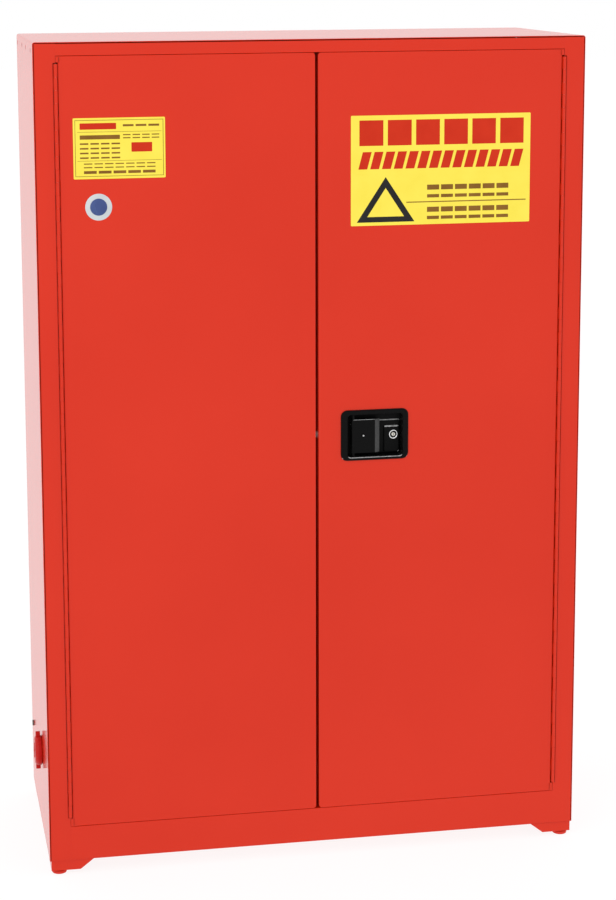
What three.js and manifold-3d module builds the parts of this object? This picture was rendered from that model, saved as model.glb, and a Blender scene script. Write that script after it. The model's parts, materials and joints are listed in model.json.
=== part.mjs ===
// Double-wall steel flammable storage cabinet with two hinged doors and a three-point latch.
// Millimetres, +Z up. The origin is on the floor at the middle of the cabinet; the doors face -Y.
import * as THREE from "three";
import { mergeVertices } from "three/addons/utils/BufferGeometryUtils.js";
import Module from "manifold-3d";

const wasm = await Module();
wasm.setup();

// ---- Driving dimensions ----
const WIDTH = 1092.2; // 43 in
const DEPTH = 457.2; // 18 in
const BODY_BOTTOM = 30;
const BODY_TOP = 1668;
const SHEET = 1.2; // 18 gauge steel
const AIR_SPACE = 38.1; // between the outer and inner walls
const GAP = 0.3; // between pieces that touch

const STILE_WIDTH = 43; // front post, seen from the front
const HEADER_HEIGHT = 25.5;
const SILL_TOP = 100.6;
const FRAME_DEPTH = 38;
const STOP_LIP = 14; // how far the frame reaches behind the doors

const DOOR_BOTTOM = 101.5;
const DOOR_TOP = 1641.5;
const DOOR_DEPTH = 38;
const DOOR_MEETING_X = 3.1; // middle of the slot between the doors
const DOOR_SLOT = 5.6;
const DOOR_CORNER = 6;

const HINGE_X = 503;
const HINGE_PROUD = 1; // the hinge line lies this far in front of the face
const HINGE_BOTTOM = 121;
const HINGE_TOP = 1627;
const BARREL_RADIUS = 3.6;
const PIN_RADIUS = 1.5;
const KNUCKLES = 11;

const SUMP_FLOOR = 60;
const SUMP_DEPTH = 50.8; // 2 in of spill containment
const SHELF_LEVELS = [330, 590, 850, 1110, 1370];
const SHELF_DEPTH = 366;
const SHELF_LIP = 12;
const SHELF_FLANGE = 20;

const HANDLE = { x: 120, z: 879.5, width: 138, height: 103, corner: 13, proud: 3 };
const HANDLE_LAP = { x: 4, z: 3 }; // how far the flange covers the door round its hole
const RECESS = { x: 121, z: 878, width: 113, height: 87, corner: 7, depth: 22, wall: 2.5 };
const BOSS = { x: 159, z: 865, width: 33, height: 56, proud: 6 };
const LOCK = { x: 162.2, z: 875, radius: 9.2, proud: 2 };
const PADDLE = { left: 74.5, right: 131.5, z: 876.4, height: 68, thickness: 4, inset: 2 };
const PADDLE_BEVEL = 10;

const LATCH_Z = 878.5; // height of the middle bolt and of the cam's pivot
const CAM_X = 100;
const CAM_ARM = 22; // pivot to drive pin
const CAM_SWING = THREE.MathUtils.degToRad(16); // each side of the arms' middle position
const CAM_THICKNESS = 2.5;
const DRIVE_PIN = 2;
const BAR_THICKNESS = 4.5; // sliding bolt and the flat ends of the rods
const ROD_RADIUS = 4;
const BOLT_HEIGHT = 12;
const TAIL = { width: 3.5, low: 19, high: 24 }; // paddle's tail, heights above LATCH_Z

const LEG = { top: 86, bottom: 59, height: 20.7, sheet: 2.5, inset: 3 };
const FOOT = { radius: 15, inset: 17, pad: 7, stem: 4, top: 28 };
const VENT = { tube: 25, bore: 21.8, collar: 28, cap: 31, lug: 40.5, proud: 15.8 };
const VENT_PLACES = { left: { y: -55, z: 201 }, right: { y: -55, z: 1500 } };
const GROUND_SCREW = { y: 176, z: 175, shank: 3, head: 6.5, proud: 3 };

// ---- Places worked out from them ----
const FRONT = -DEPTH / 2;
const BACK = DEPTH / 2;
const SIDE = WIDTH / 2;
const HEADER_BOTTOM = BODY_TOP - HEADER_HEIGHT;
const STILE_INNER = SIDE - STILE_WIDTH + GAP;
const STILE_RETURN = HINGE_X + BARREL_RADIUS + 1; // notched back from the hinge barrel
const FRAME_BACK = FRONT + FRAME_DEPTH;
const STOP_FACE = [FRAME_BACK + GAP, FRAME_BACK + GAP + SHEET];
const DOOR_BACK = FRONT + DOOR_DEPTH;
const LEAF_OFFSET = BARREL_RADIUS + 0.25; // hinge line to the middle of a hinge leaf
const DOOR_HINGE_EDGE = HINGE_X - LEAF_OFFSET - 1;
const STOP_INNER = DOOR_HINGE_EDGE - STOP_LIP + 4; // where the stile's stop lip ends
const LEFT_FREE_EDGE = DOOR_MEETING_X - DOOR_SLOT / 2;
const RIGHT_FREE_EDGE = DOOR_MEETING_X + DOOR_SLOT / 2;
const HINGE_Y = FRONT - HINGE_PROUD;
const CASE_HEIGHT = [BODY_BOTTOM + SHEET + GAP, BODY_TOP - SHEET - GAP];
const LINER_X = SIDE - SHEET - AIR_SPACE; // outer face of the inner side walls
const LINER_FRONT = STOP_FACE[1] + 2;
const LINER_BACK = BACK - SHEET - AIR_SPACE;
const LINER_TOP = BODY_TOP - SHEET - AIR_SPACE;
const RECESS_FLOOR = FRONT + RECESS.depth;
const HOUSING_BACK = RECESS_FLOOR + 2;
const CAM_FRONT = HOUSING_BACK + 0.8;
const BAR_FRONT = CAM_FRONT + CAM_THICKNESS + 0.6;
const BAR_Y = BAR_FRONT + BAR_THICKNESS / 2; // middle plane of the rods and the bolt
const ROD_X = CAM_ARM * (1 + Math.cos(CAM_SWING)) / 2; // rods run this far each side of the cam
const TRAVEL = 2 * CAM_ARM * Math.sin(CAM_SWING); // of the bolt and both rods

// ---- Materials ----
const finish = (color, roughness, metalness) =>
  new THREE.MeshStandardMaterial({ color, roughness, metalness });
const RED = finish(0xdf3f30, 0.32, 0.1);
const LINER_RED = finish(0xc83a2c, 0.4, 0.1);
const GALVANISED = finish(0xb4b8ba, 0.45, 0.85);
const ZINC = finish(0xc9ccce, 0.3, 0.9);
const CHROME = finish(0xdedede, 0.12, 1);
const BLACK = finish(0x1a1a1b, 0.5, 0.1);
const BRASS = finish(0xb08d3c, 0.35, 0.9);

// ---- Solids ----
const group = new THREE.Group();

function solid(geometry) {
  const plain = geometry.index ? geometry.toNonIndexed() : geometry.clone();
  plain.deleteAttribute("normal");
  plain.deleteAttribute("uv");
  const merged = mergeVertices(plain, 1e-4);
  const mesh = new wasm.Mesh({
    numProp: 3,
    vertProperties: new Float32Array(merged.attributes.position.array),
    triVerts: new Uint32Array(merged.index.array),
  });
  return new wasm.Manifold(mesh);
}

function geometryOf(manifold) {
  const mesh = manifold.getMesh();
  const geometry = new THREE.BufferGeometry();
  geometry.setAttribute("position", new THREE.BufferAttribute(mesh.vertProperties, 3));
  geometry.setIndex(new THREE.BufferAttribute(mesh.triVerts, 1));
  const flat = geometry.toNonIndexed();
  flat.computeVertexNormals();
  return flat;
}

const join = (first, ...others) => others.reduce((sum, other) => sum.add(other), first);
const cut = (first, ...others) => others.reduce((rest, other) => rest.subtract(other), first);

function block([x0, x1], [y0, y1], [z0, z1]) {
  const box = new THREE.BoxGeometry(x1 - x0, y1 - y0, z1 - z0);
  return solid(box.translate((x0 + x1) / 2, (y0 + y1) / 2, (z0 + z1) / 2));
}

// A round bar along an axis; ends are the coordinates on that axis, centre the other two.
function rod(axis, centre, ends, radius, segments = 24) {
  const bar = new THREE.CylinderGeometry(radius, radius, ends[1] - ends[0], segments);
  const middle = (ends[0] + ends[1]) / 2;
  if (axis === "x") bar.rotateZ(-Math.PI / 2).translate(middle, centre[0], centre[1]);
  if (axis === "y") bar.translate(centre[0], middle, centre[1]);
  if (axis === "z") bar.rotateX(Math.PI / 2).translate(centre[0], centre[1], middle);
  return solid(bar);
}

function roundedRectangle(x0, x1, y0, y1, [r00, r10, r11, r01], steps) {
  const shape = new THREE.Shape();
  const corners = [
    [x0 + r00, y0 + r00, r00, Math.PI],
    [x1 - r10, y0 + r10, r10, 1.5 * Math.PI],
    [x1 - r11, y1 - r11, r11, 0],
    [x0 + r01, y1 - r01, r01, Math.PI / 2],
  ];
  corners.forEach(([x, y, radius, start], i) => {
    for (let step = 0; step <= (radius ? steps : 0); step++) {
      const angle = start + (step / steps) * (Math.PI / 2);
      const place = [x + radius * Math.cos(angle), y + radius * Math.sin(angle)];
      if (i === 0 && step === 0) shape.moveTo(...place);
      else shape.lineTo(...place);
    }
  });
  return shape;
}

// An outline seen from the front (x, z), filled from one depth to another.
function plate(shape, [y0, y1]) {
  const bar = new THREE.ExtrudeGeometry(shape, { depth: y1 - y0, bevelEnabled: false });
  return solid(bar.rotateX(Math.PI / 2).translate(0, y1, 0));
}

function roundedPlate([x0, x1], [y0, y1], [z0, z1], radii, steps = 4) {
  const all = typeof radii === "number" ? [radii, radii, radii, radii] : radii;
  return plate(roundedRectangle(x0, x1, z0, z1, all, steps), [y0, y1]);
}

// A bent strip of sheet: the outline lies in one plane and runs along the third axis.
function section(points, axis, [from, to]) {
  const shape = new THREE.Shape(points.map(([a, b]) => new THREE.Vector2(a, b)));
  const bar = new THREE.ExtrudeGeometry(shape, { depth: to - from, bevelEnabled: false });
  if (axis === "z") bar.translate(0, 0, from);
  if (axis === "x") {
    const turn = new THREE.Matrix4().makeBasis(
      new THREE.Vector3(0, 1, 0),
      new THREE.Vector3(0, 0, 1),
      new THREE.Vector3(1, 0, 0),
    );
    bar.applyMatrix4(turn).translate(from, 0, 0);
  }
  return solid(bar);
}

const centred = (middle, size) => [middle - size / 2, middle + size / 2];
const mirrored = (side, [a, b]) => (side > 0 ? [a, b] : [-b, -a]);
const inset = ([low, high], by) => [low + by, high - by];

function piece(name, material, manifold) {
  const mesh = new THREE.Mesh(geometryOf(manifold), material);
  mesh.name = name;
  group.add(mesh);
}

// ---- Outer case ----
function ventHole(side, vent, wallX) {
  const reach = mirrored(side, centred(wallX, 20));
  return rod("x", [vent.y, vent.z], reach, VENT.tube + GAP);
}

function sidePanel(side, vent) {
  const depth = [FRONT + SHEET + GAP, BACK - SHEET - GAP];
  const wall = block(mirrored(side, [SIDE - SHEET, SIDE]), depth, CASE_HEIGHT);
  return cut(wall, ventHole(side, vent, SIDE));
}

const screwHole = rod("x", [GROUND_SCREW.y, GROUND_SCREW.z], centred(-SIDE, 20), 3.5, 16);
piece("left_side_panel", RED, cut(sidePanel(-1, VENT_PLACES.left), screwHole));
piece("right_side_panel", RED, sidePanel(1, VENT_PLACES.right));
piece("back_panel", RED, block([-SIDE, SIDE], [BACK - SHEET, BACK], CASE_HEIGHT));
const caseDepth = [FRONT + SHEET + GAP, BACK];
piece("top_panel", RED, block([-SIDE, SIDE], caseDepth, [BODY_TOP - SHEET, BODY_TOP]));
piece("bottom_panel", RED, block([-SIDE, SIDE], caseDepth, [BODY_BOTTOM, BODY_BOTTOM + SHEET]));

// ---- Inner liner and sump ----
const linerHeight = [SUMP_FLOOR - SHEET, LINER_TOP - SHEET - GAP];

function sideLiner(side, vent) {
  const depth = [LINER_FRONT, LINER_BACK - SHEET - GAP];
  const wall = block(mirrored(side, [LINER_X - SHEET, LINER_X]), depth, linerHeight);
  return cut(wall, ventHole(side, vent, LINER_X));
}

piece("left_liner", LINER_RED, sideLiner(-1, VENT_PLACES.left));
piece("right_liner", LINER_RED, sideLiner(1, VENT_PLACES.right));
const linerWidth = [-LINER_X, LINER_X];
const backLiner = [LINER_BACK - SHEET, LINER_BACK];
piece("back_liner", LINER_RED, block(linerWidth, backLiner, linerHeight));
const topLiner = [LINER_TOP - SHEET, LINER_TOP];
piece("top_liner", LINER_RED, block(linerWidth, [LINER_FRONT, LINER_BACK], topLiner));

// A leak-tight tray in the bottom of the liner.
function sumpPan() {
  const half = LINER_X - SHEET - GAP;
  const depth = [LINER_FRONT, LINER_BACK - SHEET - GAP];
  const outer = block([-half, half], depth, [SUMP_FLOOR - SHEET, SUMP_FLOOR + SUMP_DEPTH]);
  const inside = [SUMP_FLOOR, SUMP_FLOOR + 2 * SUMP_DEPTH];
  return cut(outer, block(inset([-half, half], SHEET), inset(depth, SHEET), inside));
}

piece("sump_pan", LINER_RED, sumpPan());

// ---- Front frame ----
// A rail is a bent channel: a front face, a return next to the doors and a stop lip behind them.
function rail(farEdge, doorEdge) {
  const up = Math.sign(doorEdge - farEdge);
  const lip = doorEdge + up * (STOP_LIP - 2);
  const points = [
    [FRONT, farEdge],
    [FRONT, doorEdge],
    [STOP_FACE[0], doorEdge],
    [STOP_FACE[0], lip],
    [STOP_FACE[1], lip],
    [STOP_FACE[1], doorEdge - up * SHEET],
    [FRONT + SHEET, doorEdge - up * SHEET],
    [FRONT + SHEET, farEdge],
  ];
  const half = STILE_INNER - GAP;
  const channel = section(up > 0 ? points.reverse() : points, "x", [-half, half]);
  const ends = [-1, 1].map((side) =>
    block(mirrored(side, [STOP_INNER - GAP, SIDE]), [FRAME_BACK, FRAME_BACK + 9], [0, BODY_TOP]),
  );
  return cut(channel, ...ends);
}

const rodHole = (sign, edge) =>
  rod("z", [CAM_X + sign * ROD_X, BAR_Y], centred(edge, 8), ROD_RADIUS + 1.5, 16);
piece("header_rail", RED, cut(rail(CASE_HEIGHT[1], HEADER_BOTTOM), rodHole(1, HEADER_BOTTOM)));
piece("sill_rail", RED, cut(rail(CASE_HEIGHT[0], SILL_TOP), rodHole(-1, SILL_TOP)));

// A stile is a bent channel too, notched along the hinge so that the barrel can turn in it.
function stile(side) {
  const points = [
    [SIDE, FRONT],
    [SIDE, FRONT + SHEET],
    [STILE_RETURN + SHEET, FRONT + SHEET],
    [STILE_RETURN + SHEET, STOP_FACE[1]],
    [STOP_INNER, STOP_FACE[1]],
    [STOP_INNER, STOP_FACE[0]],
    [STILE_RETURN, STOP_FACE[0]],
    [STILE_RETURN, FRONT],
  ].map(([x, y]) => [side * x, y]);
  const channel = section(side > 0 ? points : points.reverse(), "z", CASE_HEIGHT);
  const tab = mirrored(side, [STILE_INNER, STILE_RETURN + 1]);
  const face = [FRONT, FRONT + SHEET];
  return join(
    channel,
    block(tab, face, [CASE_HEIGHT[0], HINGE_BOTTOM - 2]),
    block(tab, face, [HINGE_TOP + 2, CASE_HEIGHT[1]]),
  );
}

piece("left_stile", RED, stile(-1));
piece("right_stile", RED, stile(1));

// ---- Piano hinges ----
const knucklePitch = (HINGE_TOP - HINGE_BOTTOM) / KNUCKLES;

// One leaf with every second knuckle. leafSide says on which side of the pin the leaf lies.
function hingeLeaf(hingeX, leafSide, firstKnuckle, leafBack) {
  const leafFront = HINGE_Y + BARREL_RADIUS + 0.5;
  const middle = hingeX + leafSide * LEAF_OFFSET;
  const strip = block(centred(middle, 0.9), [leafFront, leafBack], [HINGE_BOTTOM, HINGE_TOP]);
  const web = [hingeX + leafSide * 2.3, middle + leafSide * 0.4].sort((a, b) => a - b);
  const knuckles = [];
  for (let i = firstKnuckle; i < KNUCKLES; i += 2) {
    const ends = inset([i, i + 1].map((n) => HINGE_BOTTOM + n * knucklePitch), GAP / 2);
    knuckles.push(rod("z", [hingeX, HINGE_Y], ends, BARREL_RADIUS, 12));
    knuckles.push(block(web, [HINGE_Y + 1.3, leafFront + 0.5], inset(ends, GAP)));
  }
  const bore = rod("z", [hingeX, HINGE_Y], [0, BODY_TOP], PIN_RADIUS + GAP, 8);
  return cut(join(strip, ...knuckles), bore);
}

for (const [word, side] of [["left", -1], ["right", 1]]) {
  const hingeX = side * HINGE_X;
  piece(`${word}_hinge_frame_leaf`, RED, hingeLeaf(hingeX, side, 0, FRAME_BACK - 4));
  piece(`${word}_hinge_door_leaf`, RED, hingeLeaf(hingeX, -side, 1, DOOR_BACK - 2));
  const pin = rod("z", [hingeX, HINGE_Y], [HINGE_BOTTOM, HINGE_TOP], PIN_RADIUS, 8);
  piece(`${word}_hinge_pin`, ZINC, pin);
}

// ---- Doors ----
const doorHeight = [DOOR_BOTTOM, DOOR_TOP];
const leftDoorWidth = [-DOOR_HINGE_EDGE, LEFT_FREE_EDGE];
const rightDoorWidth = [RIGHT_FREE_EDGE, DOOR_HINGE_EDGE];

// The outer wall of a door: a pan that is open at the back, with clipped free corners.
function doorSkin(width, corners) {
  const outer = roundedPlate(width, [FRONT, DOOR_BACK], doorHeight, corners);
  const inner = corners.map((radius) => Math.max(0, radius - SHEET));
  const hollow = [FRONT + SHEET, DOOR_BACK + 5];
  return cut(outer, roundedPlate(inset(width, SHEET), hollow, inset(doorHeight, SHEET), inner));
}

// The inner wall of a door: a shallow pan that closes the back of the skin.
function doorLiner(width) {
  const fit = 3 * SHEET; // clears the skin's bent corners
  const outline = [inset(width, fit), inset(doorHeight, fit)];
  const pan = block(outline[0], [DOOR_BACK - 10, DOOR_BACK], outline[1]);
  const hollow = [DOOR_BACK - 20, DOOR_BACK - SHEET];
  return cut(pan, block(inset(outline[0], SHEET), hollow, inset(outline[1], SHEET)));
}

const boltHole = (reach, clearance) =>
  block(
    reach,
    centred(BAR_Y, BAR_THICKNESS + clearance),
    centred(LATCH_Z, BOLT_HEIGHT + clearance),
  );
const flangeNotch = (width, height) => block(width, [DOOR_BACK - 20, DOOR_BACK - SHEET], height);

// Beyond the ends of the hinge a door's face reaches out to the hinge line.
const faceTabs = (side) =>
  [[DOOR_BOTTOM, HINGE_BOTTOM - 2.5], [HINGE_TOP + 2.5, DOOR_TOP]].map((height) =>
    block(
      mirrored(side, [DOOR_HINGE_EDGE - 1, HINGE_X - 0.6]), [FRONT, FRONT + SHEET], height,
    ),
  );

const leftHole = boltHole(centred(LEFT_FREE_EDGE, 4), 2);
const leftCorners = [0, DOOR_CORNER, DOOR_CORNER, 0];
const leftSkin = doorSkin(leftDoorWidth, leftCorners);
piece("left_door_skin", RED, cut(join(leftSkin, ...faceTabs(-1)), leftHole));
const strikeNotch = flangeNotch([LEFT_FREE_EDGE - 28, LEFT_FREE_EDGE], centred(LATCH_Z, 44));
piece("left_door_liner", LINER_RED, cut(doorLiner(leftDoorWidth), strikeNotch));

function rightDoorSkin() {
  const handleHole = block(
    centred(HANDLE.x, HANDLE.width - 2 * HANDLE_LAP.x),
    centred(FRONT, 10),
    centred(HANDLE.z, HANDLE.height - 2 * HANDLE_LAP.z),
  );
  return cut(
    join(doorSkin(rightDoorWidth, [DOOR_CORNER, 0, 0, DOOR_CORNER]), ...faceTabs(1)),
    handleHole,
    rodHole(1, DOOR_TOP),
    rodHole(-1, DOOR_BOTTOM),
    boltHole(centred(RIGHT_FREE_EDGE, 4), 2),
  );
}

piece("right_door_skin", RED, rightDoorSkin());
piece(
  "right_door_liner",
  LINER_RED,
  cut(
    doorLiner(rightDoorWidth),
    flangeNotch(centred(CAM_X, 60), [DOOR_TOP - 20, DOOR_TOP]),
    flangeNotch(centred(CAM_X, 60), [DOOR_BOTTOM, DOOR_BOTTOM + 20]),
    flangeNotch([RIGHT_FREE_EDGE, RIGHT_FREE_EDGE + 20], centred(LATCH_Z, 40)),
  ),
);

// The astragal is fixed to the left door and reaches behind the edge of the right one.
function astragal() {
  const y = [DOOR_BACK + GAP, DOOR_BACK + GAP + SHEET];
  const height = inset(doorHeight, 20);
  const far = RIGHT_FREE_EDGE + 22;
  const strip = block([LEFT_FREE_EDGE - 30, far], y, height);
  return join(strip, block([far - SHEET, far], [y[0], y[1] + 6], height));
}

piece("astragal", RED, astragal());

// A steel cup behind the left door's edge that takes the middle bolt.
function centreStrike() {
  const edge = LEFT_FREE_EDGE - SHEET - GAP;
  const cup = block([edge - 20, edge], centred(BAR_Y - 0.5, 11.5), centred(LATCH_Z, 40));
  return cut(cup, boltHole([edge - 18, edge + 5], 2));
}

piece("centre_strike", ZINC, centreStrike());

// ---- Handle ----
function handleHousing() {
  const around = ({ x, z, width, height }, extra, depth, corner) =>
    roundedPlate(centred(x, width + extra), depth, centred(z, height + extra), corner);
  const flange = around(HANDLE, 0, [FRONT - GAP - HANDLE.proud, FRONT - GAP], HANDLE.corner);
  const shell = around(RECESS, 2 * RECESS.wall, [FRONT - 1, HOUSING_BACK], RECESS.corner + 1);
  const recess = around(RECESS, 0, [FRONT - 10, RECESS_FLOOR], RECESS.corner);
  const boss = around(BOSS, 0, [RECESS_FLOOR - BOSS.proud, RECESS_FLOOR + 1], 6);
  const through = [FRONT, HOUSING_BACK + 5];
  const axleBore = rod("z", [PIVOT_X, PIVOT_Y], centred(PADDLE.z, 150), 3.1, 16);
  const tailSlot = block(
    [PIVOT_X - 4, PIVOT_X + 18], through, [LATCH_Z + TAIL.low - 2, LATCH_Z + TAIL.high + 2],
  );
  const lockBore = rod("y", [LOCK.x, LOCK.z], through, 8.4, 24);
  return cut(join(cut(join(flange, shell), recess), boss), axleBore, tailSlot, lockBore);
}

const PADDLE_FRONT = FRONT + PADDLE.inset;
const PIVOT_X = PADDLE.left + 3;
const PIVOT_Y = PADDLE_FRONT + PADDLE.thickness / 2;
piece("handle_housing", BLACK, handleHousing());

// The paddle turns about its left edge. Its right edge is pulled out, and its tail, behind the
// pivot, pushes the bolt back.
function paddle() {
  const back = PADDLE_FRONT + PADDLE.thickness;
  const points = [
    [PADDLE.left, back],
    [PADDLE.left, PADDLE_FRONT],
    [PADDLE.right - PADDLE_BEVEL, PADDLE_FRONT],
    [PADDLE.right, PADDLE_FRONT + 5],
    [PADDLE.right, back + 5],
    [PADDLE.right - 3, back + 5],
    [PADDLE.right - PADDLE_BEVEL, back],
  ];
  const leaf = section(points, "z", centred(PADDLE.z, PADDLE.height));
  const axleEnds = centred(RECESS.z, RECESS.height + 2 * RECESS.wall);
  const axle = rod("z", [PIVOT_X, PIVOT_Y], axleEnds, 2.5, 16);
  const tail = block(
    centred(PIVOT_X, TAIL.width),
    [PIVOT_Y, BAR_FRONT + BAR_THICKNESS - 0.8],
    [LATCH_Z + TAIL.low, LATCH_Z + TAIL.high],
  );
  const dimple = new THREE.SphereGeometry(9, 20, 12).translate(98, PADDLE_FRONT - 7, LATCH_Z - 1);
  return cut(join(leaf, axle, tail), solid(dimple));
}

piece("paddle", BLACK, paddle());

const lockPlace = [LOCK.x, LOCK.z];
const lockFace = RECESS_FLOOR - BOSS.proud - GAP - LOCK.proud;
function lockCylinder() {
  const ring = rod("y", lockPlace, [lockFace, lockFace + LOCK.proud], LOCK.radius, 32);
  const barrel = rod("y", lockPlace, [lockFace + 1, HOUSING_BACK + 2], 8);
  return cut(join(ring, barrel), rod("y", lockPlace, [lockFace - 5, HOUSING_BACK + 9], 5.5));
}

piece("lock_cylinder", CHROME, lockCylinder());

// The plug turns in the cylinder and carries the lock's own small cam.
function lockPlug() {
  const barrel = rod("y", lockPlace, [lockFace + 0.5, HOUSING_BACK + 4], 5.2);
  const cam = roundedPlate(
    centred(LOCK.x, 8), [HOUSING_BACK + 2.3, HOUSING_BACK + 4], [LOCK.z - 6, LOCK.z + 19], 3.9,
  );
  const keyway = block(centred(LOCK.x, 1.6), [lockFace, lockFace + 4], centred(LOCK.z, 7));
  return cut(join(barrel, cam), keyway);
}

piece("lock_plug", BRASS, lockPlug());

// ---- Three-point latch ----
// A plate with a running hole for a rod in each end, and the stud that the cam turns on.
const GUIDE_REACH = 40;
function latchCase() {
  const back = [DOOR_BACK - SHEET - 1.6, DOOR_BACK - SHEET - 0.6];
  const width = centred(CAM_X, 68);
  const base = block(width, back, centred(LATCH_Z, 2 * GUIDE_REACH));
  const stud = rod("y", [CAM_X, LATCH_Z], [CAM_FRONT - 0.3, back[1]], 4);
  const guides = [1, -1].map((sign) => {
    const height = centred(LATCH_Z + sign * GUIDE_REACH, 2);
    const tab = block(width, [CAM_FRONT, back[1]], height);
    const place = [CAM_X + sign * ROD_X, BAR_Y];
    return cut(tab, rod("z", place, centred(height[0], 10), ROD_RADIUS + 0.4, 16));
  });
  return join(base, stud, ...guides);
}

piece("latch_case", ZINC, latchCase());

// The cam has three arms, each with a drive pin: right, left and up in its middle position. At
// rest it is turned back by CAM_SWING.
function latchCam() {
  const face = [CAM_FRONT, CAM_FRONT + CAM_THICKNESS];
  const hub = rod("y", [CAM_X, LATCH_Z], face, 9);
  const arms = [0, 90, 180].map((degrees) => {
    const angle = THREE.MathUtils.degToRad(degrees) + CAM_SWING;
    const along = new THREE.Vector2(Math.cos(angle), Math.sin(angle));
    const centre = new THREE.Vector2(CAM_X, LATCH_Z);
    const corner = (reach, across) =>
      new THREE.Vector2(-along.y, along.x).multiplyScalar(across).addScaledVector(along, reach);
    const outline = [[0, -4.5], [CAM_ARM + 4, -3.5], [CAM_ARM + 4, 3.5], [0, 4.5]];
    const arm = new THREE.Shape(outline.map(([a, b]) => corner(a, b).add(centre)));
    const pin = corner(CAM_ARM, 0).add(centre);
    const pinEnds = [face[0], BAR_FRONT + BAR_THICKNESS];
    return join(plate(arm, face), rod("y", [pin.x, pin.y], pinEnds, DRIVE_PIN, 12));
  });
  return cut(join(hub, ...arms), rod("y", [CAM_X, LATCH_Z], centred(CAM_FRONT, 20), 4.6));
}

piece("latch_cam", ZINC, latchCam());

// The slot lets a drive pin swing across the bar's travel but carries it along the travel.
const barDepth = [BAR_FRONT, BAR_FRONT + BAR_THICKNESS];
const pinAlong = CAM_ARM * Math.sin(CAM_SWING);
const slotHalf = DRIVE_PIN + 0.35;
const slotAcross = [CAM_ARM * Math.cos(CAM_SWING) - slotHalf, CAM_ARM + slotHalf];

function latchBolt() {
  const tip = LEFT_FREE_EDGE + 0.4 + (RIGHT_FREE_EDGE - LEFT_FREE_EDGE) - TRAVEL;
  const legX = [CAM_X - 51, CAM_X - 41];
  const upper = [LATCH_Z + 14.5, LATCH_Z + 28.5];
  const low = LATCH_Z - BOLT_HEIGHT / 2;
  const bolt = block([tip, legX[1]], barDepth, centred(LATCH_Z, BOLT_HEIGHT));
  const leg = block(legX, barDepth, [low, upper[1]]);
  const bar = block([legX[0], CAM_X - pinAlong + slotHalf + 3], barDepth, upper);
  const through = centred(BAR_Y, 20);
  const pinSlot = block(
    centred(CAM_X - pinAlong, 2 * slotHalf), through, slotAcross.map((z) => LATCH_Z + z),
  );
  const tailRight = PIVOT_X + TAIL.width / 2;
  const tailSlot = block(
    [tailRight - TAIL.width - 1.9, tailRight + 0.5],
    through,
    [LATCH_Z + TAIL.low - 1, LATCH_Z + TAIL.high + 1],
  );
  return cut(join(bolt, leg, bar), pinSlot, tailSlot);
}

piece("latch_bolt", ZINC, latchBolt());

// sign is 1 for the rod that goes up on the cam's right and -1 for the one that goes down on
// its left.
function latchRod(sign, tip) {
  const x = CAM_X + sign * ROD_X;
  const up = (z) => LATCH_Z + sign * z;
  const ordered = (a, b) => [Math.min(a, b), Math.max(a, b)];
  const flat = block(centred(x, 10.4), barDepth, ordered(up(pinAlong - 5), up(34)));
  const shaft = rod("z", [x, BAR_Y], ordered(up(30), tip), ROD_RADIUS, 16);
  const slotX = slotAcross.map((reach) => CAM_X + sign * reach).sort((a, b) => a - b);
  const slot = block(
    slotX, centred(BAR_Y, 20), ordered(up(pinAlong - slotHalf), up(pinAlong + slotHalf)),
  );
  return cut(join(flat, shaft), slot);
}

const SPRING = { length: 42, turns: 6, radius: 5.4, wire: 0.65 };
const springFoot = LATCH_Z + GUIDE_REACH + 1 + GAP;
const collar = rod(
  "z",
  [CAM_X + ROD_X, BAR_Y],
  [springFoot + SPRING.length + GAP, springFoot + SPRING.length + 3],
  6,
  16,
);
piece("top_rod", ZINC, join(latchRod(1, DOOR_TOP - 0.3 + TRAVEL), collar));
piece("bottom_rod", ZINC, latchRod(-1, DOOR_BOTTOM + 0.3 - TRAVEL));

class Helix extends THREE.Curve {
  getPoint(t, target = new THREE.Vector3()) {
    const angle = 2 * Math.PI * SPRING.turns * t;
    return target.set(
      CAM_X + ROD_X + SPRING.radius * Math.cos(angle),
      BAR_Y + SPRING.radius * Math.sin(angle),
      springFoot + SPRING.wire + t * (SPRING.length - 2 * SPRING.wire),
    );
  }
}

// A compression spring on the top rod, between its guide and its collar, pushes the rod home.
function rodSpring() {
  const wire = new THREE.Shape();
  for (let i = 0; i < 6; i++) {
    const angle = (i * Math.PI) / 3;
    const place = [SPRING.wire * Math.cos(angle), SPRING.wire * Math.sin(angle)];
    if (i) wire.lineTo(...place);
    else wire.moveTo(...place);
  }
  const options = { extrudePath: new Helix(), steps: SPRING.turns * 10, bevelEnabled: false };
  return solid(new THREE.ExtrudeGeometry(wire, options));
}

piece("rod_spring", ZINC, rodSpring());

// ---- Shelves and their standards ----
const STANDARD = { width: 24, depth: 9, bottom: 130, top: 1600, pitch: 63.5, y: 140 };
const standardBack = LINER_X - SHEET - GAP;

// A slotted upright channel that the shelf hangers hook into.
function shelfStandard(side, y) {
  const height = [STANDARD.bottom, STANDARD.top];
  const outerX = mirrored(side, [standardBack - STANDARD.depth, standardBack]);
  const innerX = mirrored(side, [standardBack - STANDARD.depth + 1.6, standardBack + 1]);
  const outer = block(outerX, centred(y, STANDARD.width), height);
  const hollow = block(innerX, centred(y, STANDARD.width - 3.2), [0, BODY_TOP]);
  const slots = [];
  for (let z = STANDARD.bottom + 25; z < STANDARD.top - 20; z += STANDARD.pitch) {
    slots.push(block(mirrored(side, [standardBack - 12, standardBack - 5]), centred(y, 4),
      centred(z, 14)));
  }
  return cut(outer, hollow, ...slots);
}

for (const [word, side] of [["left", -1], ["right", 1]]) {
  piece(`shelf_standard_${word}_front`, GALVANISED, shelfStandard(side, -STANDARD.y));
  piece(`shelf_standard_${word}_rear`, GALVANISED, shelfStandard(side, STANDARD.y));
}

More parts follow.
